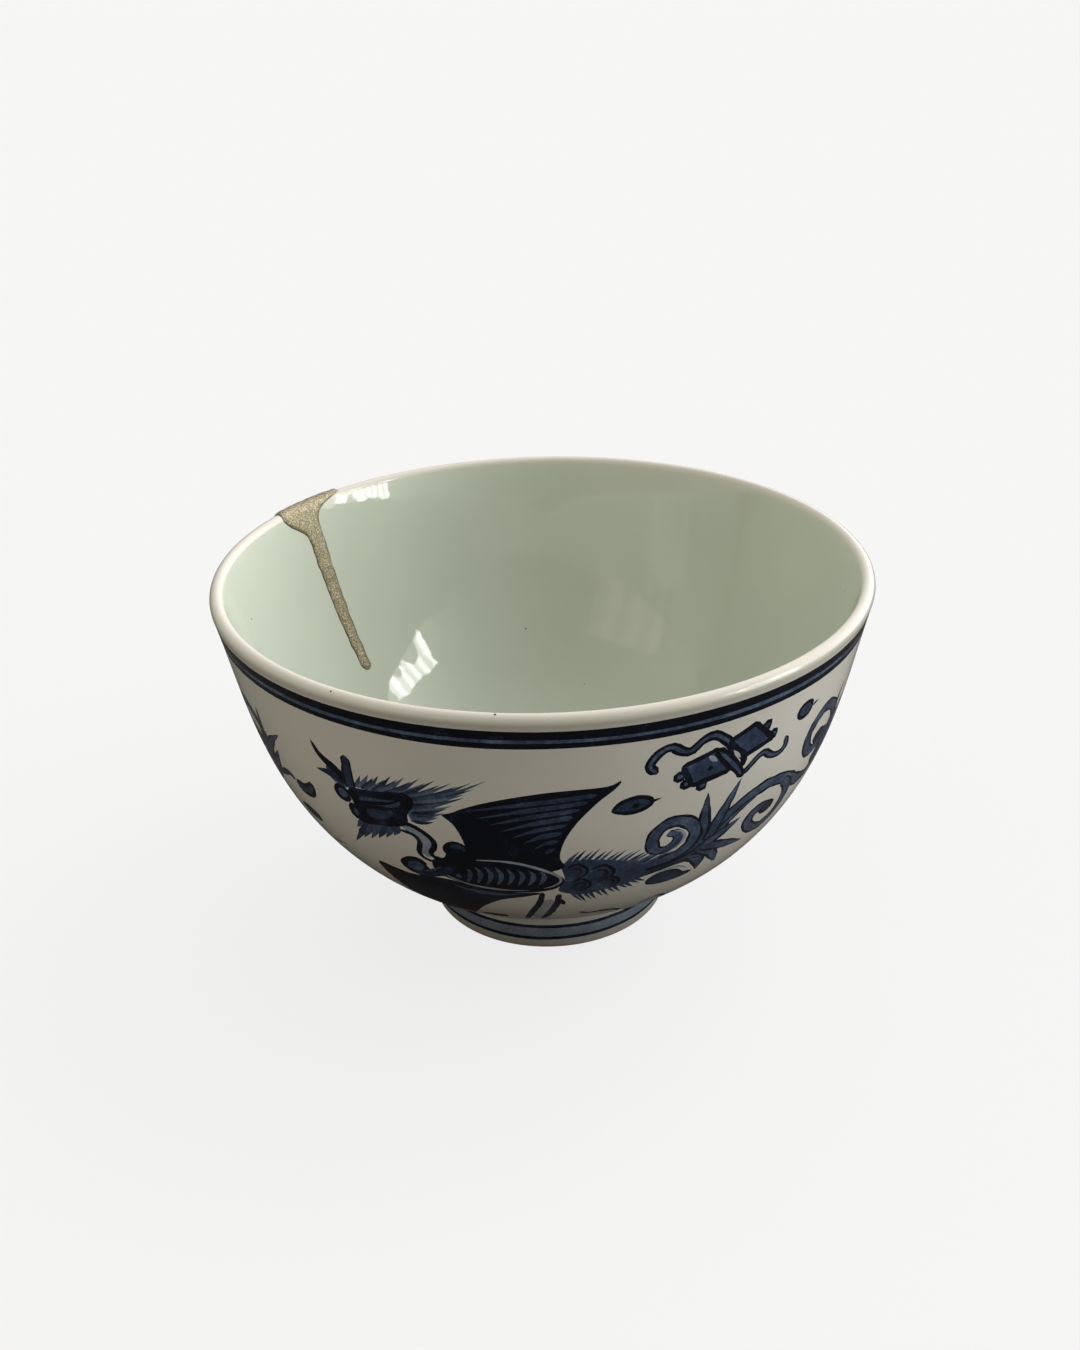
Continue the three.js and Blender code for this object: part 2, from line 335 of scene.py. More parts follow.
class Pen:
    """Lays brush marks on the unrolled skin, where a later mark covers an earlier one.

    A place is given as an azimuth and a depth below the lip's outer end, measured along the wall.
    """

    def __init__(self):
        self.turn = 0.0  # how far round the cup the figure now drawn is moved
        self.points = []
        self.patches = []
        self.inks = []

    def place(self, spot):
        """A place as a point on the unrolled skin, which strays a little round the back."""
        azimuth = spot[0] + self.turn
        depth = spot[1]
        away = smooth_step((abs(azimuth - FRONT) - FRONT_HALF) / STRAY_BLEND)
        azimuth += away * STRAY_TURN * wander(azimuth / 22, depth / 14, 7)
        depth += away * STRAY_DEPTH * wander(azimuth / 26, depth / 16, 31)
        return Vector((azimuth * DEGREE, SECTION.lip - depth))

    def add(self, corners, ink):
        """Adds a patch whose corners are points of the skin, going round it either way."""
        area = sum(a.cross(b) for a, b in zip(corners, corners[1:] + corners[:1]))
        if area < 0:
            corners = corners[::-1]
        start = len(self.points)
        self.points += corners
        self.patches.append(list(range(start, len(self.points))))
        self.inks.append(ink)

    def wash(self, ink, *spots):
        """A filled shape with a smooth outline through the places."""
        self.add(evened(curved([self.place(spot) for spot in spots], closed=True))[:-1], ink)

    def line(self, width, ink, *spots, start=0.75, end=0.75):
        """A brush line through the places. Start and end are its widths there, as shares of the width."""
        path = evened(curved([self.place(spot) for spot in spots], closed=False))
        last = len(path) - 1
        run = sum((b - a).length for a, b in zip(path, path[1:]))
        sides = []
        for index, point in enumerate(path):
            share = index / last
            stretch = UNROLLED_RADIUS / max(SECTION.at(point.y).x, 1.0)
            along = path[min(index + 1, last)] - path[max(index - 1, 0)]
            across = Vector((-along.y, along.x / stretch)).normalized()
            swell = lerp(start, 1.0, min(share * 2.5, 1.0)) * lerp(1.0, end, max(share * 2 - 1, 0.0))
            round_end = min(share, 1 - share) * run / (width / 2)
            half = width / 2 * swell * math.sqrt(1 - (1 - min(round_end + 0.04, 1.0)) ** 2)
            half *= 1 + 0.22 * wander(point.x * 0.9, point.y * 0.9, width * 5)
            aside = Vector((across.x * stretch, across.y)) * half
            sides.append((point + aside, point - aside))
        for (left, right), (next_left, next_right) in zip(sides, sides[1:]):
            self.add([left, right, next_right, next_left], ink)

    def band(self, width, ink, *spots, rim=0.3, start=0.75, end=0.75):
        """A washed stroke with a dark outline on both sides."""
        self.line(width, LINE, *spots, start=start, end=end)
        self.line(max(width - 2 * rim, 0.2), ink, *spots, start=start, end=end)

    def shape(self, ink, rim, *spots):
        """A washed shape with a dark outline of that width."""
        self.wash(ink, *spots)
        self.line(rim, LINE, *spots, spots[0], start=1, end=1)

    def oval(self, ink, rim, centre, half_angle, half_depth, tilt=0.0):
        """A washed oval with a dark outline."""
        spots = []
        for step in range(8):
            turn = math.radians(step * 45)
            x = half_angle * math.cos(turn)
            y = half_depth * math.sin(turn)
            spots.append((centre[0] + x, centre[1] + y + tilt * x))
        self.shape(ink, rim, *spots)

    def fan(self, width, inks, roots, tips, bow=0.25):
        """Pointed hairs from the places along one row to those along another."""
        for index, (root, tip) in enumerate(zip(roots, tips)):
            middle = ((root[0] + tip[0]) / 2, (root[1] + tip[1]) / 2 + bow)
            self.line(width, inks[index % len(inks)], root, middle, tip, start=1, end=0.05)

    def ring(self, low, high, ink):
        """A line all round the cup between two depths, as unsteady as a brush on a turning cup."""
        edges = []
        for depth, seed in ((low, 1.0), (high, 5.0)):
            edge = []
            for column in range(COLUMNS + 1):
                azimuth = SKIN_START + 360 * column / COLUMNS
                turn = math.radians(azimuth)
                stray = 0.09 * wander(2.2 * math.cos(turn), 2.2 * math.sin(turn), depth + seed)
                edge.append(Vector((azimuth * DEGREE, SECTION.lip - depth - stray)))
            edges.append(edge)
        self.add(edges[0] + edges[1][::-1], ink)

    def speck(self, azimuth, mark, size):
        """A dot of iron at that length of the section."""
        centre = Vector((azimuth * DEGREE, mark))
        stretch = UNROLLED_RADIUS / max(SECTION.at(mark).x, 1.0)
        corners = []
        for step in range(7):
            turn = math.tau * step / 7
            reach = size / 2 * (1 + 0.35 * wander(azimuth, step * 2.0, size))
            corners.append(centre + Vector((reach * stretch * math.cos(turn), reach * math.sin(turn))))
        self.add(corners, IRON)


def curved(points, closed):
    """A smooth curve through the points, as closely spaced points of its own."""
    count = len(points)
    if count == 2 and not closed:
        return [points[0].lerp(points[1], step / 8) for step in range(9)]
    curve = [points[0].copy()]
    for index in range(count if closed else count - 1):
        near = [points[(index + offset) % count] if closed else points[min(max(index + offset, 0), count - 1)]
                for offset in (-1, 0, 1, 2)]
        for step in range(1, 9):
            t = step / 8
            a, b, c, d = near
            bend = b * 2 + (c - a) * t + (a * 2 - b * 5 + c * 4 - d) * t**2 + (b * 3 - a - c * 3 + d) * t**3
            curve.append(bend / 2)
    return curve


def evened(curve):
    """The same curve with points at even distances."""
    marks = [0.0]
    for a, b in zip(curve, curve[1:]):
        marks.append(marks[-1] + (b - a).length)
    count = max(round(marks[-1] / STROKE_STEP), 3)
    path = []
    for step in range(count + 1):
        mark = marks[-1] * step / count
        index = min(max(bisect_right(marks, mark) - 1, 0), len(curve) - 2)
        span = max(marks[index + 1] - marks[index], 1e-9)
        path.append(curve[index].lerp(curve[index + 1], min((mark - marks[index]) / span, 1.0)))
    return path


def between(first, last, count, bow=(0.0, 0.0)):
    """Places evenly spaced from the first to the last, bowed by that much half way."""
    spots = []
    for step in range(count):
        share = step / (count - 1)
        arch = 4 * share * (1 - share)
        spots.append(tuple(lerp(low, high, share) + bend * arch for low, high, bend in zip(first, last, bow)))
    return spots


def paint_lower_wing(pen):
    """The dark mass of the folded wing and breast under the body."""
    pen.wash(LINE * 0.93, (234, 24), (238, 24.1), (242, 24.3), (246, 23.8), (251, 23.6), (257, 24.6),
             (263, 25), (268.4, 25), (264.5, 26.1), (260.5, 27), (257.6, 28.4), (255, 30.2), (253, 32.2),
             (251, 34.2), (249.3, 36), (246, 37.6), (242.5, 37.6), (240, 36), (237.2, 33.4), (235.2, 30.4),
             (234, 27.4))
    for step in range(6):
        pen.line(0.42, DEEP, (236 + 2.6 * step, 26.4 + 0.3 * step), (238.5 + 2.3 * step, 29.6 + 0.2 * step),
                 (241.5 + 1.6 * step, 33 - 0.2 * step), start=0.3, end=0.2)


def paint_upper_wing(pen):
    """The raised wing, nearly solid, with lighter lines between its feathers."""
    pen.wash(LINE, (252.3, 12.3), (254.2, 11.8), (256, 11.1), (260, 9.95), (265, 9), (270, 8.4), (275, 8.2),
             (279.2, 8.1), (281.3, 7.5), (280.4, 8.5), (278, 9.9), (276, 11.4), (274.2, 13), (272.7, 14.9),
             (271.9, 16.6), (271.7, 18.2), (272.4, 19.8), (268, 20.6), (262, 19.6), (256.5, 19.6),
             (255.7, 17.4), (255.2, 15.4), (254.3, 13.7), (253.2, 12.8))
    lefts = between((256.5, 11.35), (269.2, 17.4), 8)
    rights = between((277.4, 9.1), (270.9, 16.6), 8, bow=(-0.9, -0.4))
    for left, right in zip(lefts, rights):
        middle = (lerp(left[0], right[0], 0.45), lerp(left[1], right[1], 0.45) - 0.32)
        pen.line(0.62, MID + 0.06, right, middle, left, start=0.9, end=0.1)


def paint_body(pen):
    """The barred body inside its light outline."""
    pen.wash(LINE * 0.96, (248.5, 20), (251, 19.2), (252.2, 18), (256, 18.4), (262, 18.3), (268, 19.3),
             (271.5, 21.2), (272.6, 22.4), (271, 24), (266, 24.9), (258, 24.8), (251, 23.4), (248.3, 22.2))
    for step in range(8):
        top = 254.6 + 1.95 * step
        pen.line(0.58, MID - 0.03, (top - 0.2, 19.9 + 0.12 * abs(step - 3)), (top + 0.6, 21),
                 (top + 0.4, 22.2), (top - 0.5, 23.6 - 0.06 * step), start=0.3, end=0.4)
    for spot in ((251.2, 21.1), (253, 22)):
        pen.line(0.8, MID, spot, (spot[0] - 0.5, spot[1] + 0.9), start=0.6, end=0.4)
    pen.line(0.42, RESERVE, (256.2, 18.95), (259, 18.75), (262, 18.75), (265, 19.1), (268, 19.9),
             (270.5, 20.9), (271.8, 21.8), (271.7, 22.7), (270.3, 23.5), (268.7, 23.9), start=0.3, end=0.4)
    pen.line(0.4, RESERVE + 0.05, (250, 22.5), (251.6, 23.2), (254, 23.9), (257.5, 24.3), (262, 24.5),
             (266, 24.4), start=0.4, end=0.3)
    pen.line(0.9, MID, (251, 24.7), (255, 25.5), (260, 25.7), (265, 25.2), start=0.2, end=0.2)


def paint_legs(pen):
    """Two thin legs with a pale wash between them, and a spur."""
    pen.line(1.5, RESERVE * 0.8, (269.8, 26.8), (268.4, 30.6), (266.2, 34.8), start=0.8, end=0.6)
    pen.line(0.8, DEEP + 0.08, (268.4, 24.9), (267.7, 27.6), (266.2, 30.4), (264.8, 33.2), (263.6, 35.9))
    pen.line(0.85, DEEP + 0.08, (271.6, 25.4), (271.2, 28), (270, 31), (268.7, 33.6), (267.4, 35.9))
    pen.line(0.9, LINE, (271.4, 26.6), (272.8, 28.6), start=1, end=0.3)


def paint_rump(pen):
    """The scaled rump, with hairs above and below it."""
    pen.fan(0.44, (MID, DEEP - 0.04, MID - 0.06), between((272.4, 19.5), (287, 21), 15),
            ((275, 17.1), (276.2, 16.9), (277.4, 17.2), (278.6, 16.9), (279.8, 17.4), (281, 17.3),
             (282.2, 17.8), (283.4, 17.7), (284.8, 18.2), (286, 18.1), (287.4, 18.6), (288.6, 18.7),
             (290, 19.1), (291.4, 19.2), (292.6, 19.7)), bow=-0.1)
    pen.fan(0.46, (MID, DEEP - 0.04), between((273.6, 24.8), (286, 23.6), 12),
            ((276.4, 27.8), (277.4, 28.2), (278.4, 27.6), (279.4, 27.8), (280.6, 27), (281.8, 27.1),
             (283, 26.4), (284.2, 26.5), (285.4, 25.8), (286.6, 25.8), (287.8, 25.1), (289, 24.9)), bow=0.1)
    pen.wash(MID + 0.04, (272, 19.3), (275, 18.6), (279, 18.9), (283, 19.6), (286.5, 20.4), (288, 22.2),
             (286, 24.3), (281, 25.1), (277, 25.8), (273.6, 25.4), (271.4, 24.4), (272.6, 22.2))
    paint_scale(pen, (274.6, 20.8), 2.0, 1.5)
    paint_scale(pen, (279.2, 21.6), 2.4, 1.7)
    paint_scale(pen, (275.6, 23.6), 1.9, 1.4)
    paint_scale(pen, (281.2, 23.6), 1.8, 1.2)


def paint_scale(pen, centre, half_angle, half_depth):
    """A rounded scale of the rump, open to the left, with a smaller curve inside it."""
    x, y = centre
    pen.wash(DEEP - 0.06, (x - half_angle, y), (x, y - half_depth), (x + half_angle, y), (x, y + half_depth))
    for share, width in ((1, 0.42), (0.5, 0.34)):
        reach = half_angle * share
        drop = half_depth * share
        arc = ((-1, -0.5), (0, -1), (0.8, -0.5), (1, 0), (0.7, 0.6), (-0.2, 1))
        pen.line(width, LINE, *((x + reach * across, y + drop * down) for across, down in arc), start=0.5,
                 end=0.5)


def paint_neck(pen):
    """The neck's double outline, the curl of the shoulder and the lifted claw."""
    pen.line(1.5, PALE - 0.08, (244.6, 15.2), (247.6, 15.9), (248.6, 17.1), (247.9, 18.4), (248, 19.6))
    pen.line(0.68, LINE, (242.8, 15), (246, 14.7), (248.6, 15.6), (249.9, 16.8), (249.5, 17.9), (248.7, 18.7),
             (249.3, 19.6), (251, 20))
    pen.line(0.6, LINE, (243.6, 15.9), (246.2, 16.2), (247.1, 17.2), (246.6, 18.3), (246.3, 19.2), (247, 20),
             (248.8, 20.4))
    pen.wash(LINE, (249, 19.2), (250.6, 19.3), (251.8, 18.9), (251.2, 17.7), (251.9, 16.7), (253.6, 16.1),
             (255.6, 16.6), (257, 18.4), (256, 20.4), (252, 21.6), (249.6, 21.2))
    pen.line(0.75, DEEP - 0.04, (252.6, 17.1), (254.6, 16.9), (255.4, 17.6), start=0.5, end=0.4)
    pen.shape(MID, 0.8, (246.6, 21.6), (245.9, 20.8), (244.6, 20.6), (243, 21), (241.8, 21.7), (241.5, 22.7),
              (242.8, 23.5), (244.8, 23.3), (246.2, 22.6))
    pen.line(1.5, DEEP + 0.04, (243, 23.8), (246.5, 23.1), (250, 21.9), (252, 21), start=0.5, end=0.7)
    pen.line(0.4, MID, (245.5, 22.9), (248, 22), (249.8, 21), start=0.5, end=0.3)


def paint_head(pen):
    """The horned head with its mane and beard."""
    pen.wash(PALE + 0.04, (238, 10.6), (242, 9.8), (246, 9.5), (250, 9.6), (252.4, 9.9), (251.6, 11),
             (250, 12), (249, 13.2), (246.8, 14), (246, 12.4), (244, 11.4), (240, 11.4))
    pen.fan(0.56, (MID, MID - 0.1, DEEP - 0.04), between((236.6, 11.2), (247.4, 11.4), 17, bow=(0.2, -0.3)),
            ((238.6, 9.2), (240.4, 8.7), (241.2, 9), (242.4, 8.5), (243.4, 8.8), (244.8, 8.1), (245.8, 8.4),
             (247.2, 7.9), (248.2, 8.3), (249.8, 7.7), (250.8, 8.1), (252.4, 7.6), (253.2, 8.1), (255, 7.7),
             (256, 8), (258.2, 7.4), (260.6, 7)))
    pen.fan(0.56, (MID, MID - 0.1, DEEP - 0.04), between((247.2, 11), (246.6, 14), 9),
            ((258.6, 8.2), (257, 9), (256.8, 9.5), (255, 10), (254.6, 10.8), (253.6, 11.3), (253, 12),
             (252, 12.7), (251, 13.5)))
    pen.fan(0.8, (MID, DEEP - 0.04, MID), between((236.4, 15.9), (243.8, 15.4), 7),
            ((233.4, 18), (230.7, 21.2), (234, 19.6), (236, 19.2), (238, 18.6), (240, 18), (242, 17.2)),
            bow=0.1)
    pen.wash(MID, (231, 10.2), (231.6, 9.2), (233, 9), (234.8, 9.6), (235.4, 11.4), (233.6, 11.8),
             (231.8, 11.3))
    pen.line(1.0, DEEP, (234.4, 11.3), (231.8, 10.5), (228.3, 10.6), start=1, end=0.15)
    pen.line(1.25, LINE, (235.2, 11.2), (233.6, 9.7), (231.4, 8.8), (230, 7.9), (229.2, 6.6), start=1,
             end=0.35)
    pen.band(1.55, DEEP - 0.04, (235.7, 11.8), (235.8, 9.8), (236.2, 8.3), (236.3, 7), start=0.9, end=0.7)
    pen.wash(LINE * 0.93, (234.8, 12), (237, 11.3), (241, 10.9), (244.4, 10.3), (246.8, 10.2),
             (247.9, 10.9), (247.5, 12), (246.2, 13.2), (245.6, 14.8), (242.6, 15.7), (239, 16.2),
             (236.4, 16.6), (234.9, 16.2), (235.2, 14))
    pen.wash(MID + 0.03, (237, 12.5), (240, 12), (244, 11.6), (245.6, 11.6), (244, 12.6), (240, 13),
             (237.4, 13.2))
    pen.wash(MID + 0.1, (238, 14), (241, 13.5), (243.6, 13.3), (242, 14.5), (239, 15.2), (237.8, 14.9))
    pen.line(0.5, LINE, (236.6, 13.2), (239.5, 12.8), (243, 12.2), (245.6, 11.2), start=0.6, end=0.2)
    pen.oval(MID - 0.06, 0.62, (233.3, 12.8), 1.45, 1.0)
    pen.oval(MID, 0.6, (235, 15.1), 1.0, 1.0)
    pen.line(0.8, LINE, (236.1, 11.6), (235.9, 13.6), (236.4, 16.4))


def paint_curl(pen, ink, *spots, width=1.5, end=0.9):
    """A scroll of the tail, washed between two lines."""
    pen.band(width, ink, *spots, rim=0.34, start=1, end=end)


def paint_tail(pen):
    """The leafy scrolling tail."""
    pen.wash(DEEP - 0.06, (282.5, 20.3), (287, 20.6), (291, 20.7), (295, 20), (298.6, 18.8), (301.6, 18.6),
             (302.4, 21), (300, 22.8), (296, 22.9), (291, 23), (287, 23.8), (282.5, 24.4))
    for leaf in (
        ((298.4, 21.6), (302, 22.6), (305.8, 26)),
        ((299, 20.8), (304, 21.9), (311.2, 23.5)),
        ((296.6, 22), (299.6, 23.4), (300.9, 26.1)),
    ):
        paint_leaf(pen, *leaf)
    pen.shape(DEEP - 0.04, 0.4, (289, 25.1), (290.4, 24.2), (293, 23.8), (295.4, 24.3), (297, 25.3),
              (299.6, 25.9), (296.6, 26.5), (292.6, 26.5), (289.9, 26))
    pen.line(0.5, RESERVE, (289.6, 24), (292.4, 23.4), (295.6, 23.6), (297.9, 24.7), start=0.3, end=0.3)
    paint_curl(pen, MID, (299.6, 20.2), (301.8, 17.5), (304.6, 15.7), (308, 14.75), (312, 14.5),
               (316, 15.1), (319.6, 16.3), (323, 17.6), (327, 18), (330.4, 16.2), (331.8, 13),
               (330.6, 10.2), (328, 8.8), (325, 8.3), (322.2, 9.2), (320.7, 10.9), (321.4, 12.6),
               (323.2, 13.7), (325.6, 13.7), (327.7, 12.7), (327.9, 11.6), width=1.85)
    pen.oval(DEEP, 0.45, (325.6, 12.2), 1.9, 0.8)
    paint_curl(pen, MID, (316, 15.5), (318.6, 16.8), (319.6, 18.9), (318.9, 21), (316.4, 22.2), (313.4, 22.1),
               (310.7, 21), (309.4, 19.6), (310.2, 18.4), (312.2, 18.2), (315.6, 18.9), width=1.7, end=1)
    pen.oval(DEEP, 0.45, (314.2, 18.9), 1.9, 0.75)
    paint_curl(pen, MID, (300.4, 20.4), (303, 17.9), (306, 16.3), (309, 15.6), width=1.2, end=0.2)
    for leaf in (
        ((298.6, 20), (297.4, 16), (296.8, 11.8)),
        ((299.6, 20), (300.8, 16.4), (303.4, 11.4)),
        ((299.4, 20.6), (303, 19.3), (306.6, 18)),
        ((327, 16.6), (330.6, 11.6), (332.2, 7)),
        ((327.4, 16.8), (333, 11.8), (338.6, 9)),
        ((327.4, 17.2), (332, 14.8), (335.7, 11.9)),
    ):
        paint_leaf(pen, *leaf)
    paint_curl(pen, MID, (284, 21.4), (290, 21.3), (294.6, 20.2), (296.3, 18.2), (295.2, 16.2), (292.8, 15),
               (290.2, 14.9), (288.3, 15.9), (287.8, 17.3), (288.5, 18.8), (290.4, 19.2), (292.4, 18.6),
               (292.9, 17.4), (291.6, 16.6), (290.4, 16.9), width=1.9, end=0.75)
    pen.line(0.36, RESERVE, (291.6, 16.2), (293.3, 16.7), (294.1, 17.7), (293.4, 18.9), (291.6, 19.7),
             start=0.4, end=0.3)
    pen.line(0.5, LINE, (283.5, 22.8), (289, 22.2), (294, 21.8), (298, 20.6), (300.6, 18.4), end=0.2)
    pen.line(0.45, DEEP + 0.1, (286, 23.9), (291, 23.1), (296, 22.6), (300.4, 22.9), end=0.2)


def paint_leaf(pen, *spots):
    """A pointed leaf of the tail with a dark outline."""
    pen.line(1.75, DEEP + 0.1, *spots, start=1, end=0.1)
    pen.line(0.95, MID, *spots, start=1, end=0.1)


def paint_ribbon(pen, *spots, width=1.25):
    """A dark ribbon with a lighter middle."""
    pen.line(width, LINE, *spots, start=0.9, end=0.9)
    pen.line(width * 0.36, MID, *spots, start=0.8, end=0.8)


def paint_box(pen, corners, knobs):
    """One of the two crossed boxes, washed inside a heavy outline with knobs on it."""
    for knob in knobs:
        pen.oval(MID, 0.5, knob, 0.85, 0.55)
    rounded = []
    for first, second in zip(corners, corners[1:] + corners[:1]):
        rounded += between(first, second, 6)[:-1]
    pen.shape(MID + 0.04, 0.7, *rounded)


def paint_emblem(pen):
    """Two crossed boxes tied with ribbons."""
    paint_ribbon(pen, (286.9, 7.4), (285.5, 6.3), (286.7, 4.9), (288.7, 4.3), (290.5, 5.1), (292.2, 5.4),
                 (294, 4.4), (296, 4.1), (298, 5), (299.6, 6.1), (301, 7.4))
    paint_ribbon(pen, (303.2, 10.9), (304.8, 10), (306.2, 9.2), (307.6, 9), (308.9, 9.7), (310.7, 10.2),
                 (312.4, 10), (312.8, 9.1), (312.2, 8.2), width=1.05)
    paint_box(pen, [(291, 7.2), (297, 6.1), (300.3, 9.5), (293.3, 10.1)],
              ((290.8, 8.5), (292.2, 9.7), (295.2, 10.5)))
    paint_box(pen, [(299, 5.6), (303.9, 4.4), (308.7, 7.4), (302.8, 8.3)], ((306.6, 5.3), (308.6, 6.9)))
    pen.line(0.55, RESERVE, (295.6, 6.7), (297.3, 7.7), start=0.9, end=0.7)
    pen.oval(LINE, 0.2, (296.2, 8.4), 0.5, 0.3)
    pen.line(1.5, LINE, (296.9, 6.1), (299.4, 7.9), (301.6, 9.5), (303.5, 11.2), start=0.9, end=0.8)
    pen.line(0.45, MID, (297.6, 6.6), (299.4, 7.9), (301.6, 9.5), (303, 10.8), start=0.7, end=0.7)
    pen.line(1.0, LINE, (299.7, 6.6), (301.4, 7.4), (302.9, 8.6), (302.4, 9.9), start=0.9, end=0.8)
    pen.line(0.42, RESERVE * 0.6, (300.3, 7), (302, 8.3), start=0.7, end=0.9)


def paint_marks(pen):
    """The small leaves and sprigs in the ground between the figures."""
    pen.shape(DEEP - 0.08, 0.5, (279.9, 11.7), (281.3, 10.6), (283.6, 10.1), (285.8, 10.4), (286.7, 11.1),
              (285.3, 11.9), (282.8, 12.2))
    pen.line(0.4, LINE, (286.2, 11.1), (288.2, 10.8), start=1, end=0.1)
    pen.line(0.8, LINE, (283.2, 11.4), (284.6, 11.2), start=0.7, end=0.7)
    pen.oval(DEEP - 0.1, 0.52, (316.4, 6), 2.0, 0.98)
    pen.line(0.4, LINE, (318.4, 6), (320.2, 5.8), start=1, end=0.1)
    pen.oval(DEEP, 0.5, (256, 34.5), 3.2, 0.75, tilt=-0.03)
    pen.shape(DEEP - 0.08, 0.5, (338.6, 15.7), (339.8, 15), (341.6, 15), (343.4, 14.4), (344.7, 13.9),
              (344.6, 15.1), (343.4, 16.1), (341.4, 16.5), (339.4, 16.4))
    pen.line(1.0, DEEP, (338.6, 15.3), (336.6, 14.8), (334, 15.5), (331.2, 16.7), start=0.8, end=0.3)
    pen.oval(DEEP, 0.5, (338.2, 20.4), 2.9, 0.85, tilt=0.05)
    pen.line(0.4, MID, (339, 25), (342, 24.3), (345.4, 23.7), start=0.3, end=0.1)
    pen.line(0.95, DEEP, (276.6, 32.2), (279, 33.2), (283, 33.1), (286.4, 34), (288, 35.6), (288.2, 37),
             start=0.7, end=0.2)
    pen.line(0.85, DEEP - 0.06, (292, 33.6), (295, 31.9), (298, 32.6), (300.4, 34.6), start=0.3, end=0.3)
    pen.line(0.7, DEEP - 0.06, (310, 31), (313.4, 29.6), (316.4, 30.2), (318.6, 31.8), start=0.3, end=0.2)
    pen.line(0.7, DEEP - 0.06, (322.4, 28.4), (326, 27.6), (329, 28.6), start=0.3, end=0.2)


def paint_figure(pen):
    """The winged beast, its tail and the emblem above it, from the back to the front."""
    paint_lower_wing(pen)
    paint_tail(pen)
    paint_rump(pen)
    paint_legs(pen)
    paint_upper_wing(pen)
    paint_body(pen)
    paint_neck(pen)
    paint_head(pen)
    paint_emblem(pen)
    paint_marks(pen)


def paint_rings(pen):
    """The double lines under the lip and round the foot, washed between."""
    for low, high, ink in LIP_RINGS:
        pen.ring(low, high, ink)
    foot = SECTION.lip - SECTION.foot
    for low, high, ink in FOOT_RINGS:
        pen.ring(foot - low, foot - high, ink)


def paint_cut(pen):
    """The opening that the mend fills, as the last patch."""
    rows = mend_rows()
    left = [Vector((row[1] * DEGREE, row[0])) for row in rows]
    right = [Vector((row[2] * DEGREE, row[0])) for row in rows]
    pen.add(left + right[-2:0:-1], CUT)


def skin_marks():
    """The section lengths of the skin's rows, closest over the lip and round the foot."""
    stops = [SECTION.foot, SECTION.body, SECTION.lip, SECTION.wall, SKIN_END]
    marks = []
    for low, high, step in zip(stops, stops[1:], (FOOT_ROW_STEP, ROW_STEP, LIP_ROW_STEP, ROW_STEP)):
        count = round((high - low) / step)
        marks += [lerp(low, high, index / count) for index in range(count)]
    return [*marks, SKIN_END]


def paint_specks(pen):
    """Specks of iron burnt through the glaze, two of them on the front of the lip."""
    for azimuth, past_lip, size in LIP_SPECKS:
        pen.speck(azimuth, SECTION.lip + past_lip, size)
    for index in range(SPECKS):
        azimuth = SKIN_START + 180 + 176 * math.sin(index * 12.9898)
        mark = lerp(SECTION.body, SKIN_END - 2, 0.5 + 0.49 * math.sin(index * 78.233))
        pen.speck(azimuth, mark, lerp(0.12, 0.24, abs(math.sin(index * 3.7))))


def painted_skin():
    """The unrolled skin, cut along every brush mark: its points, its triangles and each triangle's ink."""
    pen = Pen()
    paint_rings(pen)
    for repeat in range(REPEATS):
        pen.turn = (repeat - 1) * 360 / REPEATS
        paint_figure(pen)
    paint_specks(pen)
    paint_cut(pen)
    grid = [Vector(((SKIN_START + 360 * column / COLUMNS) * DEGREE, mark))
            for mark in skin_marks() for column in range(COLUMNS + 1)]
    patches = [[corner + len(grid) for corner in patch] for patch in pen.patches]
    points, _, faces, _, _, sources = geometry.delaunay_2d_cdt(grid + pen.points, [], patches, 0, 1e-5, True)
    inks = [pen.inks[max(source)] if source else 0.0 for source in sources]
    return points, faces, inks


def spin_stretch(bm, start, end, count, mark_layer):
    """Spins a plain stretch of the section all round, on the columns of the skin."""
    verts = []
    for step in range(count + 1):
        mark = lerp(start, end, step / count)
        vert = bm.verts.new(wrapped(SKIN_START, mark))
        vert[mark_layer] = mark
        verts.append(vert)
    edges = [bm.edges.new(pair) for pair in zip(verts, verts[1:])]
    bmesh.ops.spin(bm, geom=verts + edges, cent=(0, 0, 0), axis=(0, 0, 1), dvec=(0, 0, 0), angle=math.tau,
                   steps=COLUMNS, use_merge=True, use_duplicate=False)


def zip_chains(bm, first, second):
    """Closes the wall between two rising chains of vertices, and gives its faces."""
    made = []
    i = 0
    j = 0
    while i + 1 < len(first) or j + 1 < len(second):
        climb = j + 1 == len(second) or (i + 1 < len(first) and first[i + 1].co.z <= second[j + 1].co.z)
        corners = [first[i], second[j], first[i + 1] if climb else second[j + 1]]
        if len(set(corners)) == 3:
            made.append(bm.faces.new(corners))
        i += climb
        j += not climb
    return made


def fill_slivers(bm):
    """Fills the few tiny holes that welding leaves where brush marks cross."""
    open_edges = [edge for edge in bm.edges if len(edge.link_faces) == 1 and edge.calc_length() < SLIVER * MM]
    bmesh.ops.holes_fill(bm, edges=open_edges, sides=SLIVER_SIDES)


